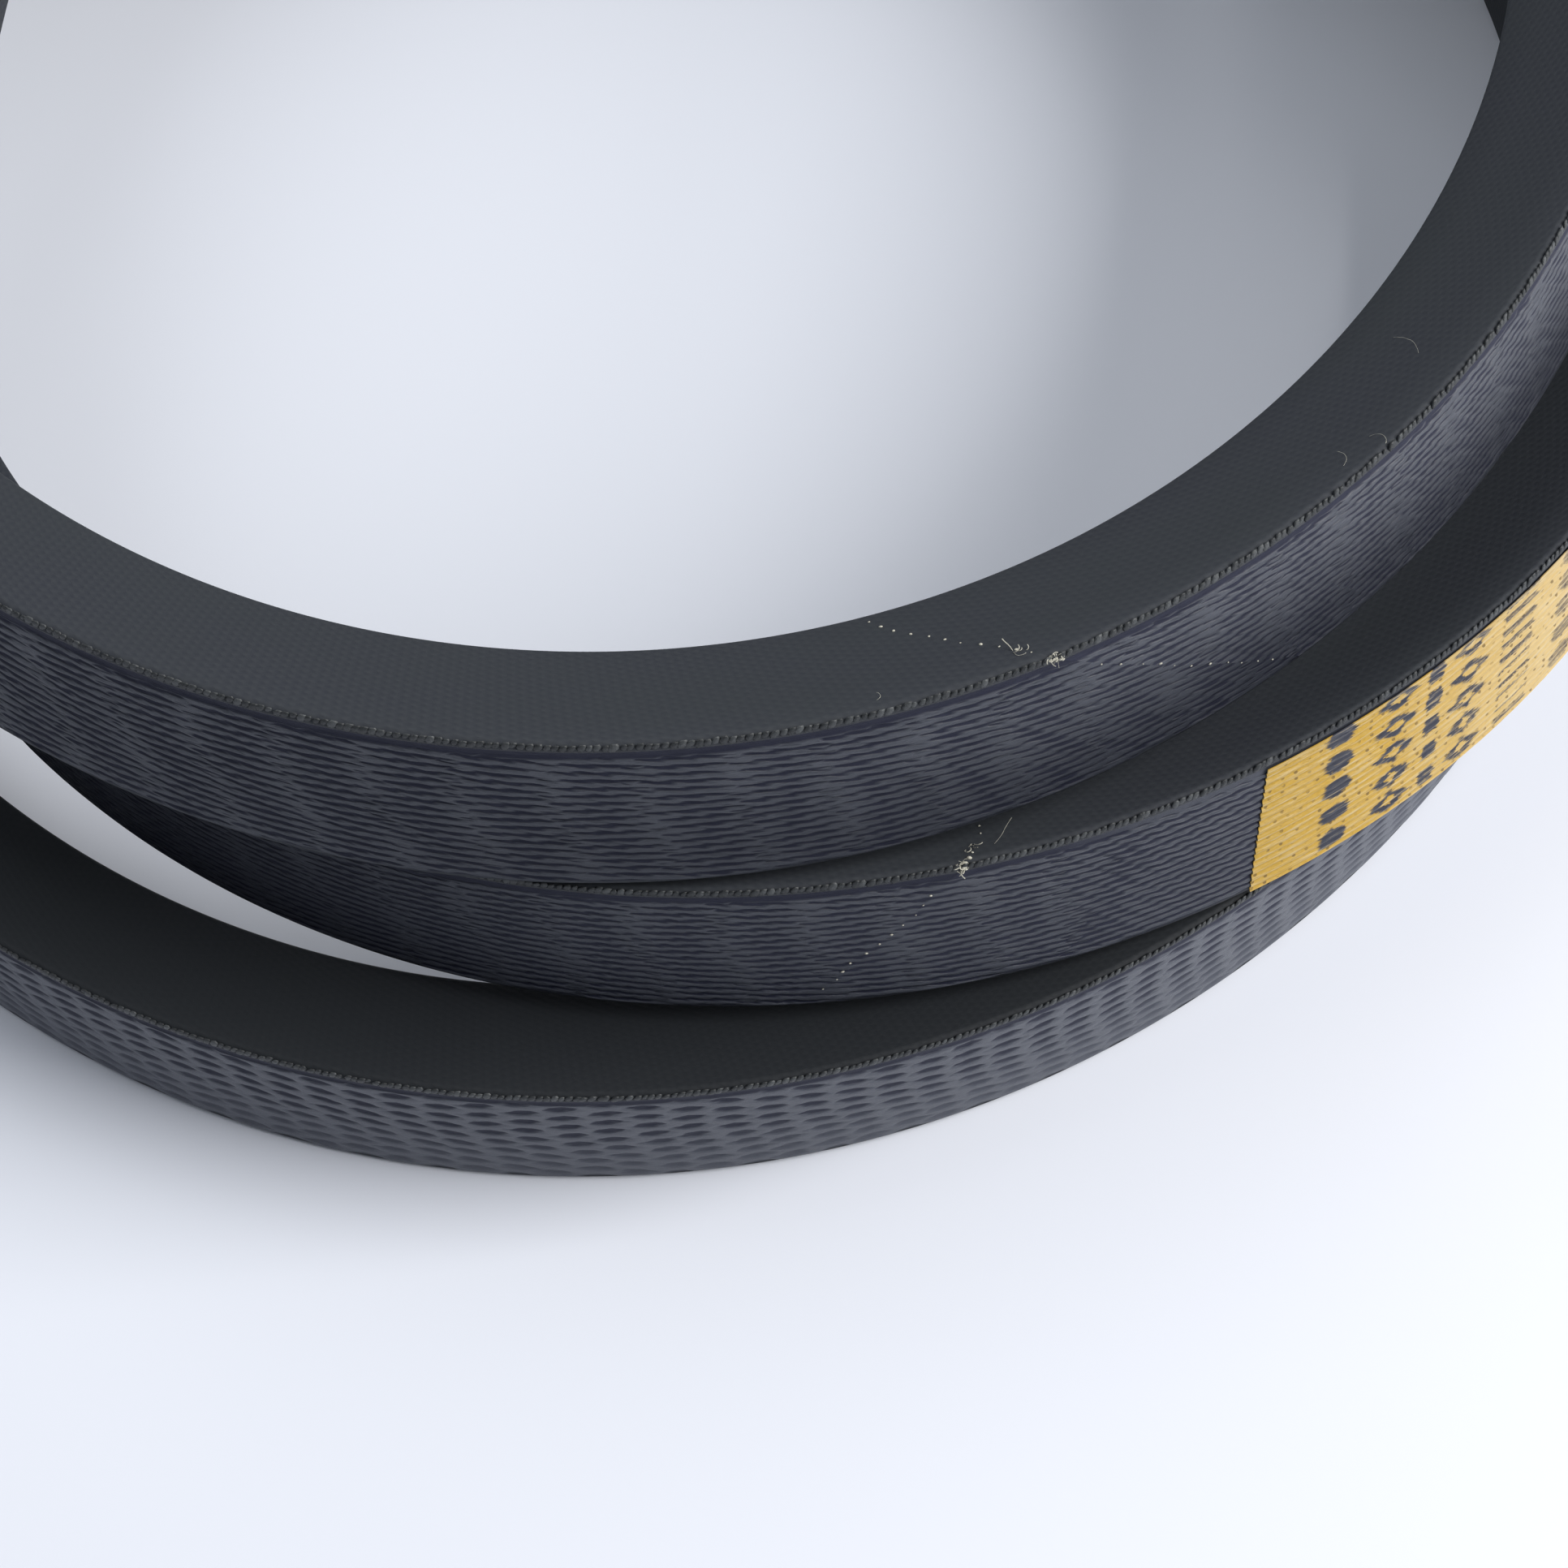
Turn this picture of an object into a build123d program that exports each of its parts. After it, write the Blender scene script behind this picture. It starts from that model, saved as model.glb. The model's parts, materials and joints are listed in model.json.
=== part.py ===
from build123d import *
from math import cos, pi, radians, sin, tan
import os

# A fabric-wrapped classical V-belt of B section, endless, stored in a coil of three loops.
# Units are millimetres and degrees, +Z is up, and the coil rests on the plane z = 0.

# --- Belt section -----------------------------------------------------------------------------
BACK_WIDTH = 17.0        # width across the back, the widest part of the section
BELT_HEIGHT = 11.0       # from the back to the narrow inner face
FLANK_ANGLE = 20.0       # each flank leans in by half of the 40 degree groove angle
PLY = 0.5                # one ply of the wrapped cover
SKIN_GAP = 0.05          # cure line left between neighbouring layers
TENSION_RUBBER = 1.6     # rubber between the cover and the cord gum
CORD_GUM = 0.45          # adhesion rubber above the cord, and again below it
CORD_COUNT = 10          # passes of the tensile cord side by side
CORD_DIAMETER = 1.15
CORD_PITCH = 1.19
CORD_SIDES = 8
LABEL_THICKNESS = 0.12
LABEL_MARGIN = 0.6       # the label stops this far from each edge of the back

# --- The coil ---------------------------------------------------------------------------------
# Each loop is a near circle followed by the middle of the back. Its radius is
# radius + oval . (cos 2a, sin 2a) + egg . (cos 3a, sin 3a), a being the angle from +X.
# height is that of the middle of the back, with slope . (cos a, sin a) added to it.
# lean turns the section: the top edge of the back goes outwards by lean + sway . (cos a, sin a).
TOP_LOOP = dict(centre=(0.6, -6.5), radius=82.9, oval=(0.5, 2.05), egg=(-0.85, 0.95),
                height=41.7, slope=(1.3, 0.0), lean=-19.0, sway=(0.6, -11.1))
MIDDLE_LOOP = dict(centre=(12.8, -12.2), radius=81.2, oval=(1.2, 3.3), egg=(-0.55, -0.1),
                   height=25.1, slope=(1.9, 0.35), lean=-2.9, sway=(-6.7, 4.6))
BOTTOM_LOOP = dict(centre=(-0.7, -3.3), radius=95.5, oval=(-1.0, 1.9), egg=(-0.05, 1.0),
                   height=8.5, slope=(0.0, 0.0), lean=-3.8, sway=(1.5, -2.1))
LOOPS = (TOP_LOOP, MIDDLE_LOOP, BOTTOM_LOOP)

# Behind, each loop changes into the next one. The three strands pass there side by side, as
# arcs about one centre, so that the bottom loop can climb back to the top between the others.
PASS_CENTRE = (6.6, -10.6)
PASS_RADII = (83.4, 112.0, 96.3)   # top to middle, middle to bottom, bottom to top
TURN_START = -165.0                # a turn runs from here to TURN_START + 360
PASS_FROM, PASS_FULL = 30.0, 99.0  # the strand moves onto its arc over these angles
PASS_LEAVES, PASS_TO = 120.0, 195.0
CLIMB_FROM, CLIMB_TO = 85.0, 192.0  # the height and the lean change over these angles

STATIONS = 30            # section stations in one turn
SPAN = 10                # stations in one face of a layer
TURNS = len(LOOPS)
TOTAL = STATIONS * TURNS
SMALL_STEP = 0.002       # stations, for the direction of the belt

# --- Cover joints and label, as station numbers ----------------------------------------------
OUTER_JOINTS = (8, 37, 77)    # where one length of the outer ply meets the next
INNER_JOINTS = (22, 57, 88)   # the inner ply's joints are staggered from them
LABEL_ENDS = (38.44, 44.8)    # on the middle loop


def smooth(x):
    """Goes from 0 to 1 with no slope or curvature at either end."""
    x = min(max(x, 0.0), 1.0)
    return x * x * x * (10 - 15 * x + 6 * x * x)


def between(low, high, share):
    return low + (high - low) * share


def on_loop(loop, angle):
    """x, y, height and lean of a single loop, as if it closed on itself."""
    c, s = cos(angle), sin(angle)
    radius = loop["radius"]
    radius += loop["oval"][0] * cos(2 * angle) + loop["oval"][1] * sin(2 * angle)
    radius += loop["egg"][0] * cos(3 * angle) + loop["egg"][1] * sin(3 * angle)
    height = loop["height"] + loop["slope"][0] * c + loop["slope"][1] * s
    lean = loop["lean"] + loop["sway"][0] * c + loop["sway"][1] * s
    return loop["centre"][0] + radius * c, loop["centre"][1] + radius * s, height, lean


def back_line(turn, degrees_round):
    """Middle of the back and the lean, on one turn, at an angle from TURN_START up."""
    angle = radians(degrees_round)
    here = on_loop(LOOPS[turn], angle)
    after = on_loop(LOOPS[(turn + 1) % TURNS], angle)
    climb = smooth((degrees_round - CLIMB_FROM) / (CLIMB_TO - CLIMB_FROM))
    x, y, height, lean = (between(h, a, climb) for h, a in zip(here, after))
    arch = smooth((degrees_round - PASS_FROM) / (PASS_FULL - PASS_FROM))
    arch *= smooth((PASS_TO - degrees_round) / (PASS_TO - PASS_LEAVES))
    x = between(x, PASS_CENTRE[0] + PASS_RADII[turn] * cos(angle), arch)
    y = between(y, PASS_CENTRE[1] + PASS_RADII[turn] * sin(angle), arch)
    return Vector(x, y, height), lean * (1 - arch)


def belt_line(station):
    """Middle of the back and the lean at a station, which may lie between whole numbers."""
    turn, step = divmod(station % TOTAL, STATIONS)
    return back_line(int(turn), TURN_START + 360.0 * step / STATIONS)


def section_frame(station):
    """Origin on the middle of the back, the outward direction and the edgewise direction."""
    middle, lean = belt_line(station)
    along = (belt_line(station + SMALL_STEP)[0] - belt_line(station - SMALL_STEP)[0]).normalized()
    level = Vector(along.Y, -along.X, 0).normalized()
    upright = level.cross(along)
    turned = radians(lean)
    outward = level * cos(turned) - upright * sin(turned)
    edgewise = level * sin(turned) + upright * cos(turned)
    return middle, outward, edgewise


def section_point(station, depth, across):
    """The point `depth` under the back and `across` from its middle, at a station."""
    middle, outward, edgewise = section_frame(station)
    return middle - outward * depth + edgewise * across


def direction(station, corner):
    """How the point of one corner moves for each station passed."""
    ahead = section_point(station + SMALL_STEP, *corner)
    behind = section_point(station - SMALL_STEP, *corner)
    return (ahead - behind) / (2 * SMALL_STEP)


def half_width(depth, inset=0.0):
    """Half the belt's width at a depth, with the flanks moved in by an inset."""
    return BACK_WIDTH / 2 - depth * tan(radians(FLANK_ANGLE)) - inset / cos(radians(FLANK_ANGLE))


def trapezoid(top_depth, bottom_depth, inset):
    """Corners (depth, across) of a layer whose sides follow the flanks."""
    wide, narrow = half_width(top_depth, inset), half_width(bottom_depth, inset)
    return [(top_depth, wide), (top_depth, -wide), (bottom_depth, -narrow), (bottom_depth, narrow)]


def corner_line(corner, first, last):
    """The line that one corner of a section follows between two stations."""
    steps = max(1, round(last - first))
    passed = [(last - first) * step / steps for step in range(steps + 1)]
    points = [section_point(first + way, *corner) for way in passed]
    ends = [direction(first, corner), direction(last, corner)]
    return Edge.make_spline(points, tangents=ends, parameters=passed, scale=False)


def walls(corners, first, last):
    """Ruled faces on every side of a section, from one station to another."""
    faces = []
    while first < last:
        end = min(first + SPAN, last)
        edges = [corner_line(corner, first, end) for corner in corners]
        for edge, neighbour in zip(edges, edges[1:] + edges[:1]):
            faces.append(Face.make_surface_from_curves(edge, neighbour))
        first = end
    return faces


def section_face(corners, station):
    """The flat face of a section at one station."""
    outline = [section_point(station, *corner) for corner in corners]
    return Face(Wire.make_polygon(outline, close=True))


def endless(corners):
    """A layer that runs round the whole belt and closes on itself."""
    return Solid(Shell(walls(corners, 0, TOTAL)))


def strip(corners, first, last):
    """A layer of finite length with a flat face at each end."""
    ends = [section_face(corners, first), section_face(corners, last)]
    return Solid(Shell(walls(corners, first, last) + ends))


def wrap(outer, inner, first, last):
    """A ply wrapped right round the section: a tube of one length, open along its middle."""
    faces = walls(outer, first, last) + walls(inner, first, last)
    for station in (first, last):
        rim = section_face(outer, station)
        hole = Wire.make_polygon([section_point(station, *corner) for corner in inner], close=True)
        faces.append(rim.make_holes([hole]))
    return Solid(Shell(faces))


def ply_lengths(outer, inner, joints):
    """The lengths of one cover ply, each from a joint to the next."""
    ends = list(joints[1:]) + [joints[0] + TOTAL]
    return [wrap(outer, inner, first, last) for first, last in zip(joints, ends)]


def octagon(depth, across):
    """Section corners of one cord."""
    reach = CORD_DIAMETER / 2 / cos(pi / CORD_SIDES)
    turns = [2 * pi * (side + 0.5) / CORD_SIDES for side in range(CORD_SIDES)]
    return [(depth + reach * cos(turn), across + reach * sin(turn)) for turn in turns]


def save(solid, name):
    """Names a solid and writes it to its own file."""
    solid.label = name
    export_step(solid, f"parts/{name}.step")
    print(name, "volume", round(solid.volume), "valid", solid.is_valid)


# --- Depths of the layers under the back ------------------------------------------------------
COVER = 2 * PLY + SKIN_GAP       # both plies of the cover with the line between them
CORE_INSET = COVER + SKIN_GAP    # from the outside of the belt to the rubber inside
TENSION_BOTTOM = CORE_INSET + TENSION_RUBBER
UPPER_GUM_TOP = TENSION_BOTTOM + SKIN_GAP
UPPER_GUM_BOTTOM = UPPER_GUM_TOP + CORD_GUM
CORD_MIDDLE = UPPER_GUM_BOTTOM + SKIN_GAP + CORD_DIAMETER / 2
LOWER_GUM_TOP = CORD_MIDDLE + CORD_DIAMETER / 2 + SKIN_GAP
LOWER_GUM_BOTTOM = LOWER_GUM_TOP + CORD_GUM
COMPRESSION_TOP = LOWER_GUM_BOTTOM + SKIN_GAP
COMPRESSION_BOTTOM = BELT_HEIGHT - CORE_INSET


def even_inset(inset):
    """The belt's section with every side moved in by the same amount."""
    return trapezoid(inset, BELT_HEIGHT - inset, inset)


def save_cover():
    """Both plies of the wrapped cover, each joined from lengths."""
    outer_ply = ply_lengths(even_inset(0.0), even_inset(PLY), OUTER_JOINTS)
    inner_ply = ply_lengths(even_inset(PLY + SKIN_GAP), even_inset(COVER), INNER_JOINTS)
    for name, lengths in (("outer", outer_ply), ("inner", inner_ply)):
        for number, solid in enumerate(lengths, 1):
            save(solid, f"{name}_cover_length_{number}")


def save_rubber():
    """The rubber layers above and below the cord."""
    layers = (
        ("tension_rubber", CORE_INSET, TENSION_BOTTOM),
        ("upper_cord_gum", UPPER_GUM_TOP, UPPER_GUM_BOTTOM),
        ("lower_cord_gum", LOWER_GUM_TOP, LOWER_GUM_BOTTOM),
        ("compression_rubber", COMPRESSION_TOP, COMPRESSION_BOTTOM),
    )
    for name, top, bottom in layers:
        save(endless(trapezoid(top, bottom, CORE_INSET)), name)


def save_cord():
    """The passes of the tensile cord, side by side between the gum layers."""
    for number in range(CORD_COUNT):
        across = (number - (CORD_COUNT - 1) / 2) * CORD_PITCH
        save(endless(octagon(CORD_MIDDLE, across)), f"tensile_cord_{number + 1:02d}")


def save_label():
    """The printed band on the back of the middle loop."""
    reach = BACK_WIDTH / 2 - LABEL_MARGIN
    under, over = -SKIN_GAP, -SKIN_GAP - LABEL_THICKNESS
    corners = [(over, reach), (over, -reach), (under, -reach), (under, reach)]
    save(strip(corners, *LABEL_ENDS), "printed_label")


os.makedirs("parts", exist_ok=True)
save_cover()
save_rubber()
save_cord()
save_label()
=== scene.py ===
import json
import math

import bpy
import numpy as np
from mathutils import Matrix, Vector


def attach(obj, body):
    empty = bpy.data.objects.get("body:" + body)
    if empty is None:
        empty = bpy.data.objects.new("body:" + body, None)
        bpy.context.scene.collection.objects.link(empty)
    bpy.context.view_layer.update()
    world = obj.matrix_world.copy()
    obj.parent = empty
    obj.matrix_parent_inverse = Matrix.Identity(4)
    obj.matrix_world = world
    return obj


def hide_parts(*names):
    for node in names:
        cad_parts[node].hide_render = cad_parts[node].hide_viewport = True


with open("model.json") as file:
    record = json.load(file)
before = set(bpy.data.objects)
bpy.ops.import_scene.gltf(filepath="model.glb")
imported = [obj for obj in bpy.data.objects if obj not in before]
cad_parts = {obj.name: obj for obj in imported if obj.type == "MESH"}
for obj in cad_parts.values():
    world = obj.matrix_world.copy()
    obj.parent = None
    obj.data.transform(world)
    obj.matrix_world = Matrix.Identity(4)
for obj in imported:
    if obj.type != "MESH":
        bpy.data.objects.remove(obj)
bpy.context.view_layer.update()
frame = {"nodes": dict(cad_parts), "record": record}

# A wrapped B section V-belt stored in a three-loop coil. The coil's line and the belt's section
# repeat the CAD model's, so the detailed cover lies exactly on the CAD cover.
MM = 0.001  # the values below are in millimetres and degrees

# --- Belt section -----------------------------------------------------------------------------
BACK_WIDTH = 17.0
BELT_HEIGHT = 11.0
FLANK_ANGLE = math.radians(20.0)
PLY = 0.5
BACK_CORNER = 0.55       # rounding of the two edges of the back
INNER_CORNER = 0.45      # rounding of the two edges of the inner face

# --- The coil ---------------------------------------------------------------------------------
# Of each loop: its centre and radius, how the radius swings twice (oval) and three times (egg) in
# a turn, its height and how that slopes, and how far the section leans and how that sways.
TOP_LOOP = dict(centre=(0.6, -6.5), radius=82.9, oval=(0.5, 2.05), egg=(-0.85, 0.95),
                height=41.7, slope=(1.3, 0.0), lean=-19.0, sway=(0.6, -11.1))
MIDDLE_LOOP = dict(centre=(12.8, -12.2), radius=81.2, oval=(1.2, 3.3), egg=(-0.55, -0.1),
                   height=25.1, slope=(1.9, 0.35), lean=-2.9, sway=(-6.7, 4.6))
BOTTOM_LOOP = dict(centre=(-0.7, -3.3), radius=95.5, oval=(-1.0, 1.9), egg=(-0.05, 1.0),
                   height=8.5, slope=(0.0, 0.0), lean=-3.8, sway=(1.5, -2.1))
LOOPS = (TOP_LOOP, MIDDLE_LOOP, BOTTOM_LOOP)
# At the rear the three strands lie side by side on arcs about one centre, upright, while each goes
# over to the height of the next loop.
PASS_CENTRE = (6.6, -10.6)
PASS_RADII = (83.4, 112.0, 96.3)
TURN_START = -165.0
PASS_FROM, PASS_FULL = 30.0, 99.0
PASS_LEAVES, PASS_TO = 120.0, 195.0
CLIMB_FROM, CLIMB_TO = 85.0, 192.0
STATIONS = 30            # places along the belt are given in thirtieths of a loop
TOTAL = STATIONS * len(LOOPS)
OUTER_JOINTS = (8, 37, 77)
JOINT_SLANTS = {8: 23.0, 37: -13.0, 77: 20.0}   # mm, from the upper to the lower edge of the back
JOINT_SHAPE = (1, 0, -0.5, 0.3, 1)   # that slant at the section's corners, from the lower edge
LABEL_ENDS = (38.44, 44.8)
SMALL_STEP = 0.002       # stations, to find the direction of the line
FINE_STEPS = 9000        # to measure its length

# --- Mesh of the cover ------------------------------------------------------------------------
RING_STEP = 0.85         # spacing along the belt
COLUMNS_PER_RIB = 4      # across its back
RIBS_BESIDE = 10         # ribs that these columns allow for, to either side of the middle
SIDE_STEP = 3.0          # round the rest of the section
CORNER_STEPS = 3         # faces round each corner
LINING_EVERY = 12        # the plain inside has only every twelfth ring
JOINT_REACH = 60.0       # the rings turn askew over this length, to meet a slanting joint

# --- Surface of the cover ---------------------------------------------------------------------
RIB_PITCH = 0.87         # across the back, from one rib to the next
RIBS = (-8.0, 6.75, 0.12)   # the ribbed part of the back: from, to, and how softly it ends
BAND_LENGTH = 6.25       # along the belt, from one row of rib crossings to the next
BAND_DRIFT = 0.15        # how the rows of crossings slant
BAND_WANDER = 0.2        # and wander
LONG_MARK = dict(reach=0.64, thick=0.31)    # half size of a groove: bands along, ribs across
SHORT_MARK = dict(reach=0.46, thick=0.32)   # of the bottom loop's dashes: half bands, two ribs
BLUNTNESS = 2.1          # of the grooves' ends: 1 gives diamonds, 2 gives arcs
GROOVE_TILT = 0.30       # how far a groove may lie askew
GROOVE_SHIFT = 0.025     # and each row be shifted along, in bands
GROOVE_RIM = 0.14        # width of its sloping rim, in ribs
FRAY_ALONG, FRAY_ACROSS = 0.02, 0.08   # how far the roughness of the yarns moves that rim
BARBS = (3.1, 10.3)      # waves of the slanting yarns on the ribs, radians along and across
GROOVE_DEPTH = 0.17
CHANNEL = (6.85, 7.5, 0.15)   # the dark channel between the ribs and the looped edge
CHANNEL_DEPTH = 0.16
LOWER_HEM, UPPER_HEM = (-9.0, -8.1, 0.3), (7.6, 9.0, 0.1)   # smooth strips along the edges
BOTTOM_LOOP_MARKS = (54, 87)   # stations between which the back has dashes
MARKS_CHANGE = 4         # stations over which one mark changes into the other
SHADED_RIGHT, SHADED_UNDER = (9, 16), (30, 33.4)   # stations between which shade is painted into the back's colour
STRAIGHT_BEYOND = 20     # the grooves beside the label's ends are unbroken as far as this,
STRAIGHT_FADE = 14       # over which they come back to lenses
LOOP_PITCH = 0.56        # along the belt, from one loop of the edge to the next
LOOP_WIDTH = 0.84        # their size: across the edge,
LOOP_THICK = 0.64        # along it,
LOOP_RISE = 0.11         # and standing from it
LOOP_SUNK = 0.10         # how deep their middles lie
LOOP_SLANT = 42          # degrees
WEAVE_PITCH = 0.58       # of the cover fabric, seen on the flanks
KNOT_PITCH = 0.9         # along each of its yarns
WEAVE_TURN = math.radians(-22)
LABEL_ACROSS = (-8.1, 7.35)
LABEL_SLANT = 0.8        # the label's end is cut a little askew
LABEL_LIFT = 0.10        # its face over the ribs
LABEL_FILM = 0.07
LABEL_FOLLOWS = 0.75     # how much of the grooves' depth shows through it
LABEL_COLUMNS_PER_RIB = 6
LABEL_RING_STEP = 0.8
PRINT_PITCH = 3.3        # from one row of marks to the next
PRINT_START = 5.0        # from the label's end to the first mark
PRINT_REPEAT = 25.0      # and then from one group of them to the next
DISCS = ((1.5, 1.4, 1.15), (10.8, 0.9, 0.8))   # middle, half length and half width
LOZENGES = (7.0, 14.6)   # middles
LOZENGE_SIZES = ((2.1, 1.35), (0.9, 0.6))   # half sizes of them and of their hollows
DASHES = ((10.2, 11.4), (18.4, 22.0))   # from and to
DASH_LINE = (0.55, 0.95)   # how far they lie from the middle of the row
WORN_FROM, WORN_OVER = 10, 20   # the print wears off past this length from the end
HOLE_PITCH = 1.15        # of the pinholes along the label
LABEL_SKEWED = 10.0      # length over which the label's mesh turns to that askew end
YARN_ENDS_ON_FLANK = (0.9, 11.2, 0.95)   # of a joint: from, to and spacing, past the edge
YARN_ENDS_ON_BACK = (3.0, 14.5, 1.1)     # the same, from the lower edge
YARN_END_SIZES = dict(flank=0.15, back=0.12, edge=0.22)
TUFTS = ((-0.2, 22, 0.55), (1.6, 5, 0.8))   # place past the upper edge, fibres, reach
LOOP_SEED, JOINT_SEEDS, FIBRE_SEED = 11, (21, 22, 23), 31
PROBE_COLUMNS, PROBE_STEP = np.arange(-8, 8.1, 0.5), 1.0   # outline that the yarns lie on
FIBRE_SIDES = 5
CURL_STEPS = 12          # pieces that a loose fibre bends in
LOOSE_FIBRE_RADIUS = 0.012
LOOSE_FIBRES = (   # station, place round the section, length, bend at each step
    (37.15, 18.2, 2.4, 0.03),
    (10.3, 21.0, 3.0, 0.10),
    (9.75, 18.7, 2.6, -0.16),
    (7.30, 17.9, 0.9, 0.25),
    (9.55, 18.2, 1.8, 0.14),
)

# ================================ the coil's line =============================================

def smooth(x):
    """Goes from 0 to 1 with no slope or curvature at either end."""
    x = np.clip(x, 0.0, 1.0)
    return x * x * x * (10 - 15 * x + 6 * x * x)


def on_loop(loop, angle):
    """x, y, height and lean of a single loop, as if it closed on itself."""
    c, s = np.cos(angle), np.sin(angle)
    radius = loop["radius"]
    radius = radius + loop["oval"][0] * np.cos(2 * angle) + loop["oval"][1] * np.sin(2 * angle)
    radius = radius + loop["egg"][0] * np.cos(3 * angle) + loop["egg"][1] * np.sin(3 * angle)
    height = loop["height"] + loop["slope"][0] * c + loop["slope"][1] * s
    lean = loop["lean"] + loop["sway"][0] * c + loop["sway"][1] * s
    x, y = loop["centre"][0] + radius * c, loop["centre"][1] + radius * s
    return np.stack([x, y, height, lean], -1)


def belt_line(station):
    """Middle of the back (n, 3) and the lean (n) at stations that may lie between whole ones."""
    station = np.asarray(station, float) % TOTAL
    turn = np.floor(station / STATIONS).astype(int)
    around = TURN_START + 360.0 * (station / STATIONS - turn)
    angle = np.radians(around)
    on_each = np.stack([on_loop(loop, angle) for loop in LOOPS])
    rows = np.arange(len(station))
    here, after = on_each[turn, rows], on_each[(turn + 1) % len(LOOPS), rows]
    climb = smooth((around - CLIMB_FROM) / (CLIMB_TO - CLIMB_FROM))[:, None]
    line = here + (after - here) * climb
    arch = smooth((around - PASS_FROM) / (PASS_FULL - PASS_FROM))
    arch = arch * smooth((PASS_TO - around) / (PASS_TO - PASS_LEAVES))
    radius = np.array(PASS_RADII)[turn]
    line[:, 0] += (PASS_CENTRE[0] + radius * np.cos(angle) - line[:, 0]) * arch
    line[:, 1] += (PASS_CENTRE[1] + radius * np.sin(angle) - line[:, 1]) * arch
    return line[:, :3], line[:, 3] * (1 - arch)


def unit(vectors):
    return vectors / np.linalg.norm(vectors, axis=-1, keepdims=True)


def section_frames(station):
    """Middle of the back, and the outward, edgewise and forward directions, at each station."""
    station = np.asarray(station, float)
    middle, lean = belt_line(station)
    along = unit(belt_line(station + SMALL_STEP)[0] - belt_line(station - SMALL_STEP)[0])
    level = unit(np.stack([along[:, 1], -along[:, 0], np.zeros(len(along))], -1))
    upright = np.cross(level, along)
    turned = np.radians(lean)[:, None]
    outward = level * np.cos(turned) - upright * np.sin(turned)
    edgewise = level * np.sin(turned) + upright * np.cos(turned)
    return middle, outward, edgewise, along


# Length along the back at fine stations, to place what repeats every few millimetres.
FINE_STATIONS = np.linspace(0, TOTAL, FINE_STEPS + 1)
_steps = np.linalg.norm(np.diff(belt_line(FINE_STATIONS)[0], axis=0), axis=1)
FINE_LENGTHS = np.concatenate([[0.0], np.cumsum(_steps)])
BELT_LENGTH = FINE_LENGTHS[-1]


def length_at(station):
    """Distance along the back, which goes on rising past the last station."""
    turns = np.floor(np.asarray(station) / TOTAL)
    return turns * BELT_LENGTH + np.interp(station - turns * TOTAL, FINE_STATIONS, FINE_LENGTHS)


def station_at(length):
    turns = np.floor(np.asarray(length) / BELT_LENGTH)
    return turns * TOTAL + np.interp(length - turns * BELT_LENGTH, FINE_LENGTHS, FINE_STATIONS)


# ================================ the belt's section ==========================================

def half_width(depth):
    return BACK_WIDTH / 2 - depth * math.tan(FLANK_ANGLE)


def rounded_outline(back_columns, side_step):
    """Points (depth, across), outward normals and the length round, of the section with its
    corners rounded. It starts at the lower edge of the back and goes up across the back."""
    wide, narrow = half_width(0.0), half_width(BELT_HEIGHT)
    corners = [np.array(corner) for corner in
               ((0.0, -wide), (0.0, wide), (BELT_HEIGHT, narrow), (BELT_HEIGHT, -narrow))]
    radii = [BACK_CORNER, BACK_CORNER, INNER_CORNER, INNER_CORNER]
    arcs = []
    for index, corner in enumerate(corners):
        back, ahead = unit(corners[index - 1] - corner), unit(corners[(index + 1) % 4] - corner)
        half = math.acos(float(back @ ahead)) / 2
        reach = radii[index] / math.tan(half)
        centre = corner + unit(back + ahead) * radii[index] / math.sin(half)
        start, end = corner + back * reach - centre, corner + ahead * reach - centre
        turns = np.linspace(0, 1, CORNER_STEPS + 1)[:, None]
        arc = unit(start * (1 - turns) + end * turns)
        arcs.append((arc * radii[index] + centre, arc))
    points, normals = [], []
    for index, (arc, arc_normals) in enumerate(arcs):
        following = arcs[(index + 1) % 4][0][0]
        if index == 0:
            across = np.array([x for x in back_columns if arc[-1][1] < x < following[1]])
            run = np.stack([np.zeros(len(across)), across], -1)
        else:
            count = max(1, round(np.linalg.norm(following - arc[-1]) / side_step))
            shares = np.linspace(0, 1, count + 1)[1:-1, None]
            run = arc[-1] * (1 - shares) + following * shares
        points += [arc, run]
        normals += [arc_normals, np.repeat(arc_normals[-1:], len(run), 0)]
    points, normals = np.concatenate(points), np.concatenate(normals)
    around = np.concatenate([[0.0], np.cumsum(np.linalg.norm(np.diff(points, axis=0), axis=1))])
    return points, normals, around


def place(frames, depth, across):
    """World positions in metres, for arrays of one row per station and one column per point."""
    middle, outward, edgewise = frames
    return (middle - outward * depth[..., None] + edgewise * across[..., None]) * MM


# ================================ patterns ====================================================

class Field:
    """A number that varies over a surface, as a socket of a material's nodes. The patterns
    below are written once, and work on arrays for the mesh and on fields for the material."""

    def __init__(self, tree, socket):
        self.tree, self.socket = tree, socket

    def step(self, operation, *others):
        node = self.tree.nodes.new("ShaderNodeMath")
        node.operation = operation
        for slot, value in zip(node.inputs, (self,) + others):
            if isinstance(value, Field):
                self.tree.links.new(value.socket, slot)
            else:
                slot.default_value = float(value)
        return Field(self.tree, node.outputs[0])

    def __add__(self, other):
        return self.step("ADD", other)

    def __sub__(self, other):
        return self.step("SUBTRACT", other)

    def __mul__(self, other):
        return self.step("MULTIPLY", other)

    def __truediv__(self, other):
        return self.step("DIVIDE", other)

    def __rsub__(self, other):
        return self.step("MULTIPLY", -1) + other

    def __pow__(self, other):
        return self.step("POWER", other)

    def __abs__(self):
        return self.step("ABSOLUTE")

    __radd__, __rmul__ = __add__, __mul__


def floor_of(x):
    return x.step("FLOOR") if isinstance(x, Field) else np.floor(x)


def sine(x):
    return x.step("SINE") if isinstance(x, Field) else np.sin(x)


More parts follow.
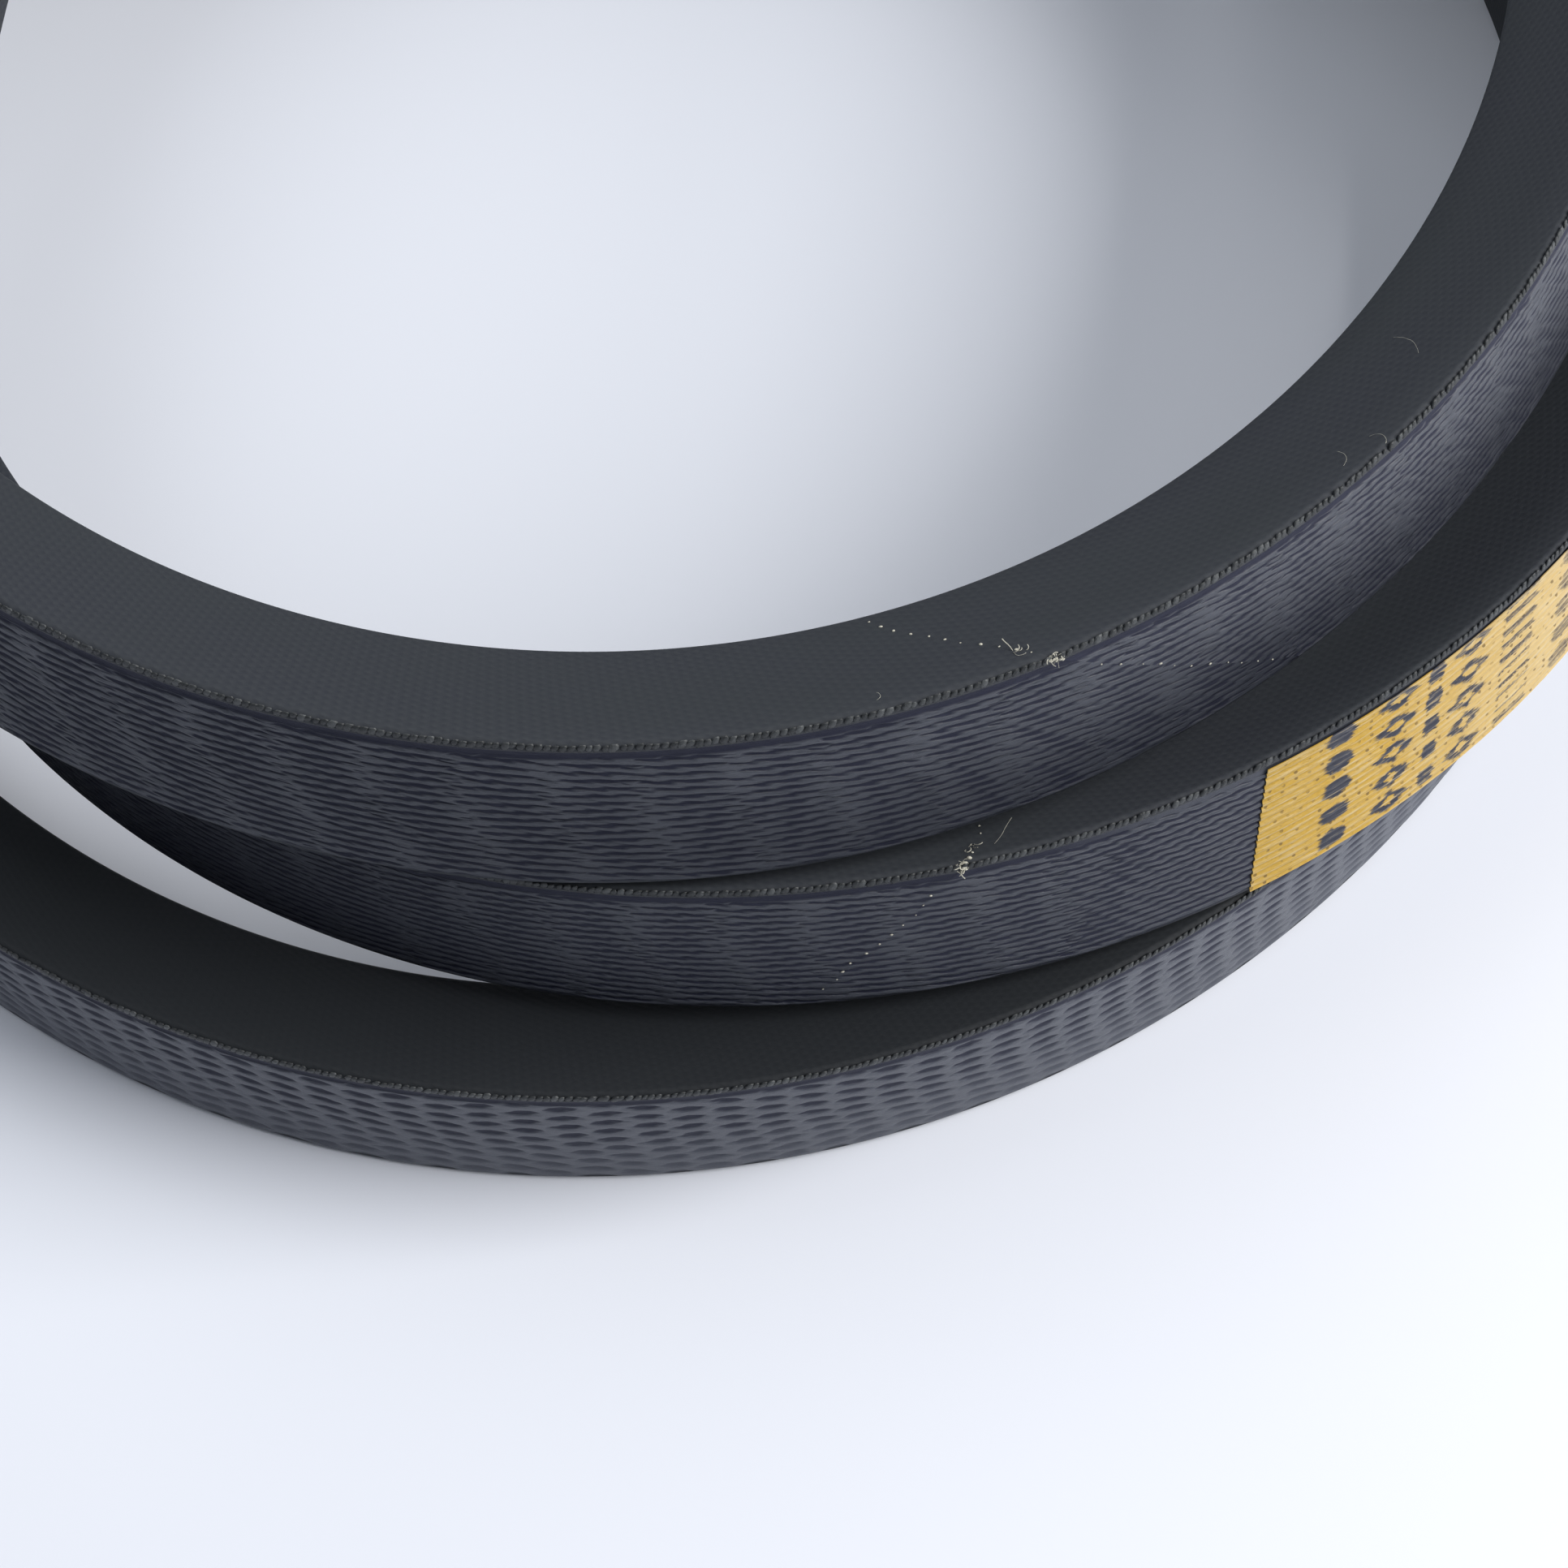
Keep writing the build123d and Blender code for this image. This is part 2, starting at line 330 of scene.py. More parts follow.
def larger(x, y):
    return x.step("MAXIMUM", y) if isinstance(x, Field) else np.maximum(x, y)


def smaller(x, y):
    return x.step("MINIMUM", y) if isinstance(x, Field) else np.minimum(x, y)


def unit_clip(x):
    return smaller(larger(x, 0.0), 1.0)


def jitter(row, band, phase):
    """A repeatable value from -1 to 1 for each groove, from two waves out of step."""
    return sine(row * 12.9898 + band * 7.233 + phase)


def within(x, low, high, soft):
    """1 between low and high, falling to 0 over `soft` outside them."""
    return smaller(unit_clip((x - low) / soft + 1), unit_clip((high - x) / soft + 1))


def lens_rows(along, across, length, pitch, shape, straight, rough):
    """Lens shaped dents in rows, 0 to 1: every second band of them is shifted by half a row,
    so that the points of one band lie between the points of the next. `straight` runs them
    together into unbroken grooves, and `rough` frays their rims."""
    dents = []
    for half in (0.0, 0.5):
        row = floor_of(across / pitch + 0.5 + half * (1 - straight))
        shift = jitter(row, half, 2.0) * GROOVE_SHIFT
        place_along = along / (2 * length) + half + shift + rough * FRAY_ALONG
        band = floor_of(place_along)
        way = (place_along - band - 0.5) * 2
        taper = unit_clip(1 - (abs(way) / (shape["reach"] + straight)) ** BLUNTNESS)
        tilt = jitter(row, band, 4.0) * GROOVE_TILT * (1 - straight)
        sideways = abs(across / pitch + half * (1 - straight) - row - way * tilt)
        inside = taper * shape["thick"] + rough * FRAY_ACROSS - sideways
        deep = unit_clip(inside / GROOVE_RIM)
        dents.append(deep * unit_clip(taper * 5))
    return larger(*dents)


def groove(along, across, brick, straight, rough=0.0):
    """How far the back is pressed in, from 0 to 1, by the wrapping tape of the cure: in long
    lenses that meet in slanting rows, in short dashes like brickwork on the bottom loop
    (`brick`), and in unbroken grooves beside the label (`straight`)."""
    wander = sine(across * 0.55 + along * 0.011) * BAND_WANDER
    drifted = along + across * BAND_DRIFT + wander
    frayed = rough + sine(along * BARBS[0] + across * BARBS[1])
    lenses = lens_rows(drifted, across, BAND_LENGTH, RIB_PITCH, LONG_MARK, straight, frayed)
    dashes = lens_rows(drifted, across, BAND_LENGTH / 2, RIB_PITCH * 2, SHORT_MARK, 0.0, rough)
    pressed = lenses * (1 - brick) + dashes * brick
    return pressed * within(across, *RIBS)


def edge_channel(across):
    """The smooth dark channel between the ribs and the looped edge."""
    return within(across, *CHANNEL)


def on_bottom_loop(length):
    """0 on the top and middle loops, 1 on the bottom one."""
    station = station_at(length) % TOTAL
    first, last = BOTTOM_LOOP_MARKS
    return smooth((station - first) / MARKS_CHANGE) * smooth((last - station) / MARKS_CHANGE)


def beside_label(length):
    """1 along the label and its surroundings."""
    start, end = length_at(LABEL_ENDS[0]), length_at(LABEL_ENDS[1])
    before = smooth((length - start + STRAIGHT_BEYOND) / STRAIGHT_FADE)
    return before * smooth((end + STRAIGHT_BEYOND - length) / STRAIGHT_FADE)


# ================================ meshes ======================================================

def quads(rows, columns, closed):
    """Corner numbers of the faces of a grid, which may close on itself across its columns."""
    first = np.arange(columns if closed else columns - 1)
    second = (first + 1) % columns
    base = np.arange(rows - 1)[:, None] * columns
    grid = [base + first, base + second, base + columns + second, base + columns + first]
    return np.stack(grid, -1).reshape(-1, 4)


def mesh_object(name, points, faces, attributes=None):
    """A mesh from arrays; faces may be a list of arrays of triangles and quads."""
    faces = [np.asarray(group) for group in (faces if isinstance(faces, list) else [faces])]
    mesh = bpy.data.meshes.new(name)
    sizes = np.concatenate([np.full(len(group), group.shape[1]) for group in faces])
    corners = np.concatenate([group.ravel() for group in faces])
    mesh.vertices.add(len(points))
    mesh.vertices.foreach_set("co", np.asarray(points, np.float32).ravel())
    mesh.loops.add(len(corners))
    mesh.loops.foreach_set("vertex_index", corners.astype(np.int32))
    mesh.polygons.add(len(sizes))
    starts = np.concatenate([[0], np.cumsum(sizes)[:-1]])
    mesh.polygons.foreach_set("loop_start", starts.astype(np.int32))
    mesh.polygons.foreach_set("loop_total", sizes.astype(np.int32))
    mesh.polygons.foreach_set("use_smooth", np.ones(len(sizes), bool))
    for key, values in (attributes or {}).items():
        layer = mesh.attributes.new(key, "FLOAT", "POINT")
        layer.data.foreach_set("value", np.asarray(values, np.float32).ravel())
    mesh.update(calc_edges=True)
    mesh.validate()
    piece = bpy.data.objects.new(name, mesh)
    bpy.context.scene.collection.objects.link(piece)
    return piece


def joint_shift(station, around):
    """How far (mm) a joint lies ahead of its station at each point round the section. The
    fabric is cut on the bias, so its joint crosses the belt on a slant."""
    flank = BELT_HEIGHT / math.cos(FLANK_ANGLE)
    sides = np.cumsum([0, BACK_WIDTH, flank, 2 * half_width(BELT_HEIGHT), flank])
    return JOINT_SLANTS[station % TOTAL] * np.interp(around, sides, JOINT_SHAPE)


def cover_length(name, first, last):
    """One length of the outer ply: ribbed outside, plain inside, closed at both ends."""
    start, end = length_at(first), length_at(last)
    beside = RIBS_BESIDE * COLUMNS_PER_RIB
    rib_columns = np.arange(-beside, beside) * RIB_PITCH / COLUMNS_PER_RIB
    points, normals, around = rounded_outline(rib_columns, SIDE_STEP)
    count = round((end - start) / RING_STEP) + 1
    share = np.linspace(0, 1, count)[:, None]
    lengths = start + (end - start) * share
    near = np.clip(1 - (lengths - start) / JOINT_REACH, 0, 1) ** 2
    far = np.clip(1 - (end - lengths) / JOINT_REACH, 0, 1) ** 2
    lengths = lengths + near * joint_shift(first, around) + far * joint_shift(last, around)
    rows, columns = lengths.shape
    frames = [part.reshape(rows, columns, 3) for part in
              section_frames(station_at(lengths.ravel()))[:3]]
    across = points[None, :, 1]
    on_back = (normals[:, 0] < -0.99)[None, :]
    brick, straight = on_bottom_loop(lengths), beside_label(lengths)
    pressed = np.where(on_back, groove(lengths, across, brick, straight), 0)
    sunk = GROOVE_DEPTH * pressed + np.where(on_back, CHANNEL_DEPTH * edge_channel(across), 0)
    sunk = sunk * np.clip((0.5 - np.abs(share - 0.5)) * (count - 1) / 2, 0, 1)   # level ends
    outside = place(frames, points[None, :, 0] - normals[None, :, 0] * sunk,
                    across - normals[None, :, 1] * sunk)
    picked = list(range(0, rows - 1, LINING_EVERY)) + [rows - 1]
    lining = points - normals * PLY
    inside = place([part[picked] for part in frames], lining[None, :, 0], lining[None, :, 1])
    offset = rows * columns
    last_out, last_in = offset - columns, offset + (len(picked) - 1) * columns
    ring = np.arange(columns)
    following = (ring + 1) % columns
    near_rim = np.stack([ring, following, following + offset, ring + offset], -1)
    far_rim = np.stack([ring + last_out, ring + last_in, following + last_in,
                        following + last_out], -1)
    faces = [quads(rows, columns, True)[:, ::-1], quads(len(picked), columns, True) + offset,
             near_rim, far_rim]
    vertices = np.concatenate([outside.reshape(-1, 3), inside.reshape(-1, 3)])
    hidden = np.zeros(len(picked) * columns)
    grid = np.ones((rows, columns))
    values = {"along": lengths, "around": grid * around, "across": grid * across,
              "back": grid * on_back, "brick": brick, "straight": straight}
    values = {key: np.concatenate([value.ravel(), hidden]) for key, value in values.items()}
    piece = mesh_object(name, vertices, np.concatenate(faces), values)
    rims = np.isin(np.arange(len(vertices)), np.concatenate(
        [ring, ring + offset, ring + last_out, ring + last_in]))
    mark_sharp(piece.data, rims)
    return piece


def mark_sharp(mesh, chosen):
    """Keeps the shading crisp along the edges between chosen points."""
    ends = np.empty(len(mesh.edges) * 2, np.int32)
    mesh.edges.foreach_get("vertices", ends)
    both = chosen[ends.reshape(-1, 2)].all(1)
    sharp = mesh.attributes.new("sharp_edge", "BOOLEAN", "EDGE")
    sharp.data.foreach_set("value", both)


def tube(points, radius):
    """Points, quads and triangles of a thin fibre that starts thinner and has closed ends."""
    points = np.asarray(points, float)
    ahead = unit(np.gradient(points, axis=0))
    helper = np.where(np.abs(ahead[:, 2:]) > 0.9, [[1.0, 0, 0]], [[0, 0, 1.0]])
    side = unit(np.cross(ahead, helper))
    other = np.cross(ahead, side)
    turns = np.arange(FIBRE_SIDES) * 2 * math.pi / FIBRE_SIDES
    radii = np.full(len(points), radius) * np.clip(np.linspace(0.6, 1.6, len(points)), 0.6, 1)
    ring = side[:, None] * np.cos(turns)[:, None] + other[:, None] * np.sin(turns)[:, None]
    around = (points[:, None] + ring * radii[:, None, None]).reshape(-1, 3)
    body = quads(len(points), FIBRE_SIDES, True)
    last = (len(points) - 1) * FIBRE_SIDES
    near_cap = [(FIBRE_SIDES - 1 - corner, (FIBRE_SIDES - corner) % FIBRE_SIDES, len(around))
                for corner in range(FIBRE_SIDES)]
    far_cap = [(last + corner, last + (corner + 1) % FIBRE_SIDES, len(around) + 1)
               for corner in range(FIBRE_SIDES)]
    return np.concatenate([around, points[:1], points[-1:]]), body, np.array(near_cap + far_cap)


def joined(parts):
    """Points and face groups of several (points, quads, triangles) in one."""
    offset, points, fours, threes = 0, [], [], []
    for corners, four, three in parts:
        points.append(corners)
        fours.append(four + offset)
        threes.append(three + offset)
        offset += len(corners)
    return np.concatenate(points), [np.concatenate(fours), np.concatenate(threes)]


BALL_RINGS, BALL_SIDES = 4, 6


def ball():
    """Unit ball: points, quads and triangles."""
    points = [(0, 0, -1.0)]
    for ring in range(1, BALL_RINGS):
        tilt = math.pi * ring / BALL_RINGS
        for side in range(BALL_SIDES):
            turn = 2 * math.pi * side / BALL_SIDES
            points.append((math.sin(tilt) * math.cos(turn), math.sin(tilt) * math.sin(turn),
                           -math.cos(tilt)))
    points.append((0, 0, 1.0))
    fours = quads(BALL_RINGS - 1, BALL_SIDES, True) + 1
    side = np.arange(BALL_SIDES)
    following = (side + 1) % BALL_SIDES
    top = len(points) - 1
    low = np.stack([following + 1, side + 1, np.zeros_like(side)], -1)
    high = np.stack([side + top - BALL_SIDES, following + top - BALL_SIDES,
                     np.full_like(side, top)], -1)
    return np.array(points), fours, np.concatenate([low, high])


def scattered_balls(centres, axes):
    """Many balls at once: centres (n, 3), axes (n, 3, 3) with a row for each half-axis."""
    shape, fours, threes = ball()
    points = centres[:, None] + np.einsum("pi,nij->npj", shape, axes)
    offsets = (np.arange(len(centres)) * len(shape))[:, None, None]
    return (points.reshape(-1, 3), (fours[None] + offsets).reshape(-1, 4),
            (threes[None] + offsets).reshape(-1, 3), len(shape))


def edge_loops():
    """The row of small slanting loops of fabric along the upper edge of the back."""
    random = np.random.default_rng(LOOP_SEED)
    count = round(BELT_LENGTH / LOOP_PITCH)
    lengths = (np.arange(count) + 0.5) * BELT_LENGTH / count + random.normal(0, 0.05, count)
    middle, outward, edgewise, along = section_frames(station_at(lengths))
    inset = LOOP_WIDTH / 2 + 0.05 + random.normal(0, 0.03, count)
    sunk = LOOP_SUNK + random.normal(0, 0.02, count)
    centres = middle + edgewise * (BACK_WIDTH / 2 - inset)[:, None] - outward * sunk[:, None]
    slant = np.radians(LOOP_SLANT + random.normal(0, 9, count))[:, None]
    size = (1 + random.normal(0, 0.10, count))[:, None]
    long_way = (edgewise * np.cos(slant) + along * np.sin(slant) - outward * 0.12) * size
    short_way = (along * np.cos(slant) - edgewise * np.sin(slant)) * size
    axes = np.stack([long_way * LOOP_WIDTH / 2, short_way * LOOP_THICK / 2,
                     outward * LOOP_RISE * size], 1)
    points, fours, threes, each = scattered_balls(centres * MM, axes * MM)
    tone = np.repeat(random.random(count), each)
    return mesh_object("edge_loops", points, [fours, threes], {"tone": tone})


# ================================ camera, light and floor =====================================

CAMERA_PLACE = (11.9, -169.4, 201.0)
CAMERA_PITCH = 62.7      # degrees below the horizon
SENSOR_WIDTH = 36.0
FOCAL_LENGTH = 60.5
NEAREST = 0.005          # metres from the camera
SKY_COLOUR = (0.86, 0.90, 1.0)
SKY_STRENGTH = 0.23
FLOOR_REACH = 3.0        # metres
LAMPS = (   # name, place in metres, size in metres, watts, colour
    ("key", (0.62, -0.08, 0.52), (0.50, 0.50), 8.5, (1.0, 0.985, 0.97)),
    ("back", (-0.40, 0.26, 0.60), (0.70, 0.70), 2.5, (0.94, 0.97, 1.0)),
)


def make_camera():
    data = bpy.data.cameras.new("camera")
    data.sensor_width = SENSOR_WIDTH
    data.lens = FOCAL_LENGTH
    data.clip_start = NEAREST
    camera = bpy.data.objects.new("camera", data)
    camera.location = [value * MM for value in CAMERA_PLACE]
    camera.rotation_euler = (math.radians(90 - CAMERA_PITCH), 0, 0)
    bpy.context.scene.collection.objects.link(camera)
    bpy.context.scene.camera = camera


def area_light(name, place_m, size, power, colour):
    """A soft lamp that shines on the middle of the coil."""
    data = bpy.data.lights.new(name, "AREA")
    data.shape = "RECTANGLE"
    data.size, data.size_y = size
    data.energy = power
    data.color = colour
    lamp = bpy.data.objects.new(name, data)
    lamp.location = place_m
    lamp.rotation_euler = (-Vector(place_m)).to_track_quat("-Z", "Y").to_euler()
    bpy.context.scene.collection.objects.link(lamp)


def make_light():
    world = bpy.data.worlds.new("studio")
    bpy.context.scene.world = world
    world.use_nodes = True
    background = world.node_tree.nodes["Background"]
    background.inputs["Color"].default_value = (*SKY_COLOUR, 1)
    background.inputs["Strength"].default_value = SKY_STRENGTH
    for lamp in LAMPS:
        area_light(*lamp)
    bpy.context.scene.view_settings.view_transform = "Standard"


# ================================ materials ===================================================

# Colours are linear. A pair is the dark and the light tone of one thing.
FLANK_YARNS = ((0.021, 0.024, 0.034), (0.036, 0.040, 0.048))
FLANK_STAIN = (0.029, 0.035, 0.038)
# painted shade: the bottom loop's flanks and inner face, in the shade of the loops above
SHADED_FLANK_OF_BOTTOM_LOOP = (0.006, 0.008, 0.010)
RIDGE = ((0.048, 0.054, 0.070), (0.085, 0.092, 0.113))
RIDGE_OF_BOTTOM_LOOP = (0.092, 0.100, 0.124)
HOLLOW = ((0.010, 0.012, 0.029), (0.019, 0.022, 0.044))
HOLLOW_OF_BOTTOM_LOOP = (0.034, 0.037, 0.058)
# painted shade: the colours of ridges and hollows where the back lies in shade
SHADED_RIDGE, SHADED_HOLLOW = (0.011, 0.013, 0.020), (0.006, 0.007, 0.014)
HEM = (0.034, 0.037, 0.041)
LOOPED_EDGE = ((0.017, 0.020, 0.022), (0.062, 0.068, 0.071))
LABEL_YELLOW = ((0.43, 0.26, 0.032), (0.59, 0.37, 0.055))
LABEL_RIDGE, LABEL_WORN, LABEL_HOLE = (0.66, 0.55, 0.32), (0.60, 0.50, 0.32), (0.16, 0.10, 0.03)
PRINT_INK = ((0.030, 0.033, 0.050), (0.20, 0.20, 0.20))
CREAM = ((0.34, 0.33, 0.28), (0.62, 0.60, 0.50))
CORD = ((0.30, 0.20, 0.11), (0.60, 0.48, 0.32))
TABLE = ((0.77, 0.80, 0.87), (0.79, 0.82, 0.89))
INNER_LAYERS = (   # slot, material, dark and light tone, grains per metre, roughness
    ("inner_cover", "inner_fabric", (0.014, 0.014, 0.016), (0.034, 0.034, 0.036), 2200, 0.8),
    ("tension_rubber", "tension_rubber", (0.010, 0.010, 0.011), (0.022, 0.022, 0.024), 700, 0.6),
    ("cord_gum", "cord_gum", (0.030, 0.024, 0.020), (0.050, 0.042, 0.034), 900, 0.5),
    ("compression_rubber", "compression_rubber", (0.008, 0.008, 0.009), (0.02, 0.02, 0.021),
     1500, 0.7),
)


def new_material(name):
    """A material with its tree and its shader."""
    material = bpy.data.materials.new(name)
    material.use_nodes = True
    tree = material.node_tree
    return material, tree, tree.nodes["Principled BSDF"]


def attribute(tree, name):
    """A value that the mesh carries at its points."""
    node = tree.nodes.new("ShaderNodeAttribute")
    node.attribute_name = name
    return Field(tree, node.outputs["Fac"])


def colour_mix(tree, share, low, high):
    """A colour between two, each of which is a colour or a socket."""
    node = tree.nodes.new("ShaderNodeMix")
    node.data_type = "RGBA"
    tree.links.new(share.socket, node.inputs[0])
    for slot, value in ((node.inputs[6], low), (node.inputs[7], high)):
        if isinstance(value, tuple):
            slot.default_value = (*value, 1)
        else:
            tree.links.new(value, slot)
    return node.outputs[2]


def noise(tree, parts=(), scale=1.0, detail=2.0):
    """Smooth noise from -1 to 1 over up to three fields, or over the object's own space."""
    texture = tree.nodes.new("ShaderNodeTexNoise")
    texture.inputs["Scale"].default_value = scale
    texture.inputs["Detail"].default_value = detail
    if parts:
        vector = tree.nodes.new("ShaderNodeCombineXYZ")
        for slot, part in zip(vector.inputs, parts):
            tree.links.new(part.socket, slot)
        tree.links.new(vector.outputs[0], texture.inputs["Vector"])
    else:
        place_node = tree.nodes.new("ShaderNodeTexCoord")
        tree.links.new(place_node.outputs["Object"], texture.inputs["Vector"])
    return (Field(tree, texture.outputs["Fac"]) - 0.5) * 2


def add_bump(tree, shader, height, distance, strength=1.0):
    """Fine relief: `height` runs from 0 to 1 over `distance` metres."""
    bump = tree.nodes.new("ShaderNodeBump")
    bump.inputs["Distance"].default_value = distance
    bump.inputs["Strength"].default_value = strength
    tree.links.new(height.socket, bump.inputs["Height"])
    tree.links.new(bump.outputs["Normal"], shader.inputs["Normal"])


def weave(along, around, wobble):
    """The yarns of the cover fabric, from 0 to 1, lying askew because it is cut on the bias."""
    c, s = math.cos(WEAVE_TURN), math.sin(WEAVE_TURN)
    lengthwise = along * c + around * s + wobble * 0.25
    crosswise = around * c - along * s + wobble * 0.12
    row = floor_of(crosswise / WEAVE_PITCH)
    ridge = sine(crosswise * (2 * math.pi / WEAVE_PITCH))
    knot = sine(lengthwise * (2 * math.pi / KNOT_PITCH) + row * 2.6)
    return unit_clip(ridge * 0.18 + knot * 0.20 + 0.55)


def painted_shade_stretches(along, across, brick):
    """Where shade is painted into the back's colour, 0 to 1: low on the back, most of all on the
    right of the top loop, where it is turned from the light, and where the middle loop goes in
    under the top one and lies in its shade."""
    lap = along - floor_of(along / BELT_LENGTH) * BELT_LENGTH
    right = within(lap, *map(length_at, SHADED_RIGHT), 70.0) * 0.65 + 0.1
    low = unit_clip((across - 4.5) * -0.11) * (1 - brick) * right
    under = within(lap, *map(length_at, SHADED_UNDER), 35.0) * 0.85
    return larger(low, under)


def flank_colour(tree, yarns, stains, brick):
    """The woven flanks and inner face: charcoal and stained, and nearly black on the bottom loop
    with painted shade from the loops above.
    """
    flank = colour_mix(tree, yarns, *FLANK_YARNS)
    flank = colour_mix(tree, unit_clip(stains * 0.5 + 0.3), flank, FLANK_STAIN)
    # painted shade: nearly black on the bottom loop, under the loops above
    return colour_mix(tree, brick * 0.75, flank, SHADED_FLANK_OF_BOTTOM_LOOP)


def back_colour(tree, across, brick, dark, painted_shade, fibres, streaks):
    """The ribbed back: slate ridges, navy hollows and a charcoal hem along both edges, with
    painted shade darkening ridges and hollows where the back lies in shade.
    """
    ridge = colour_mix(tree, unit_clip(fibres * 0.8 + 0.5), *RIDGE)
    ridge = colour_mix(tree, brick * 0.8, ridge, RIDGE_OF_BOTTOM_LOOP)
    # painted shade darkens the ridges where the back lies in shade
    ridge = colour_mix(tree, painted_shade, ridge, SHADED_RIDGE)
    hollow = colour_mix(tree, unit_clip(streaks + 0.5), *HOLLOW)
    hollow = colour_mix(tree, brick * 0.6, hollow, HOLLOW_OF_BOTTOM_LOOP)
    # painted shade darkens the hollows where the back lies in shade
    hollow = colour_mix(tree, painted_shade, hollow, SHADED_HOLLOW)
    ribbed = colour_mix(tree, dark, ridge, hollow)
    hem = larger(within(across, *LOWER_HEM), within(across, *UPPER_HEM)) * 0.8
    return colour_mix(tree, hem, ribbed, HEM)


def cover_material():
    """Rubberised fabric: ribbed navy and slate on the back, charcoal weave on the flanks."""
    material, tree, shader = new_material("cover_fabric")
    along, across = attribute(tree, "along"), attribute(tree, "across")
    around, back = attribute(tree, "around"), attribute(tree, "back")
    brick, straight = attribute(tree, "brick"), attribute(tree, "straight")
    streaks = noise(tree, (along * 0.55, around * 5.0), detail=3.0)
    fibres = noise(tree, (along * 1.5 + around * 1.2, around * 13.0))
    stains = noise(tree, (along * 0.045, around * 0.12))
    pressed = groove(along, across, brick, straight, streaks)
    worn_low = unit_clip((across - 1) * -0.105) * brick
    dark = larger(pressed * (1 - worn_low), edge_channel(across) * (1 - straight * 0.8)) * back
    # painted shade in the back's colour, which also takes away some of its sheen and gloss
    painted_shade = painted_shade_stretches(along, across, brick)
    yarns = weave(along, around, streaks)
    ribbed = back_colour(tree, across, brick, dark, painted_shade, fibres, streaks)
    base = colour_mix(tree, back, flank_colour(tree, yarns, stains, brick), ribbed)
    tree.links.new(base, shader.inputs["Base Color"])
    sheen = back * (1 - dark) * (1 - painted_shade * 0.7)
    gloss = 0.72 - sheen * 0.30 + fibres * 0.05
    tree.links.new(gloss.socket, shader.inputs["Roughness"])
    tree.links.new((0.36 - painted_shade * 0.24).socket, shader.inputs["Specular IOR Level"])
    relief = back * (0.7 - dark * 0.5 + fibres * 0.14) + (1 - back) * (yarns * 0.13 + 0.3)
    add_bump(tree, shader, relief, 0.00022, 0.9)
    return material


def loop_material():
    """The small glossy loops of fabric along the upper edge of the back."""
    material, tree, shader = new_material("edge_loop_fabric")
    tone = attribute(tree, "tone")
    base = colour_mix(tree, tone ** 3, *LOOPED_EDGE)
    tree.links.new(base, shader.inputs["Base Color"])
    fine = noise(tree, scale=6000.0)
    tree.links.new((0.52 + fine * 0.12).socket, shader.inputs["Roughness"])
    add_bump(tree, shader, fine * 0.5 + 0.5, 0.00006)
    return material


def disc(u, v, radius_u, radius_v):
    """1 inside an ellipse about the origin, falling to 0 over its soft rim."""
    far = ((u / radius_u) ** 2 + (v / radius_v) ** 2) ** 0.5
    return unit_clip((1.08 - far) * 6)


def lozenge(u, v, radius_u, radius_v):
    """1 inside a lozenge about the origin, in the quarter where u and v are positive."""
    return unit_clip((1.1 - u / radius_u - v / radius_v) * 5)


def label_print(along, across):
    """Five rows of plain marks that stand for the printing: discs, lozenges and dashes."""
    row = floor_of(across / PRINT_PITCH + 0.5)
    v = abs(across - row * PRINT_PITCH)
    place_along = (along - length_at(LABEL_ENDS[0]) - PRINT_START) / PRINT_REPEAT
    u = (place_along - floor_of(place_along)) * PRINT_REPEAT
    marks = larger(*(disc(abs(u - middle), v, *half) for middle, *half in DISCS))
    for middle in LOZENGES:
        outer, inner = (lozenge(abs(u - middle), v, *half) for half in LOZENGE_SIZES)
        marks = larger(marks, outer - inner)
    for low, high in DASHES:
        marks = larger(marks, within(u, low, high, 0.2) * within(v, *DASH_LINE, 0.15))
    return marks * unit_clip(3 - abs(row)) * unit_clip(place_along * 50)


def pinholes(tree, along, across):
    """Small dark holes along the label's ribs, 0 to 1, thick in some places and thin in others."""
    row = floor_of(across / RIB_PITCH + 0.5)
    spot = along / HOLE_PITCH + sine(row * 4.1) * 0.6
    spot_along = (spot - floor_of(spot) - 0.5) * HOLE_PITCH
    holes = disc(abs(spot_along), abs(across - row * RIB_PITCH + 0.1), 0.17, 0.12)
    return holes * unit_clip(noise(tree, (along * 0.5, across * 0.9)) * 5 + 0.2)


def label_material():
    """Yellow printed film, streaked along the ribs under it, and more worn farther along."""
    material, tree, shader = new_material("label_film")
    along, across = attribute(tree, "along"), attribute(tree, "across")
    pressed = attribute(tree, "pressed")
    wisps = noise(tree, (along * 0.30, across * 5.5), detail=3.0)
    grain = noise(tree, (along * 3.0, across * 9.0))
    raised = (1 - pressed) * unit_clip(wisps * 1.6 + 0.25)
    worn = unit_clip((along - length_at(LABEL_ENDS[0]) - WORN_FROM) / WORN_OVER) * 0.65
    yellow = colour_mix(tree, unit_clip(grain * 0.5 + 0.5), *LABEL_YELLOW)
    yellow = colour_mix(tree, raised * 0.8, yellow, LABEL_RIDGE)
    yellow = colour_mix(tree, worn * 0.7, yellow, LABEL_WORN)
    base = colour_mix(tree, pinholes(tree, along, across) * 0.8, yellow, LABEL_HOLE)
    marks = label_print(along + wisps * 0.6, across + grain * 0.3)
    marks = marks * unit_clip(1.35 - worn - raised * 0.9 + grain * 0.5)
    base = colour_mix(tree, marks, base, colour_mix(tree, raised * 0.5, *PRINT_INK))
    tree.links.new(base, shader.inputs["Base Color"])
    tree.links.new((0.55 - raised * 0.12).socket, shader.inputs["Roughness"])
    shader.inputs["Specular IOR Level"].default_value = 0.4
    add_bump(tree, shader, grain * 0.3 + wisps * 0.3 + 0.5, 0.00008)
    return material


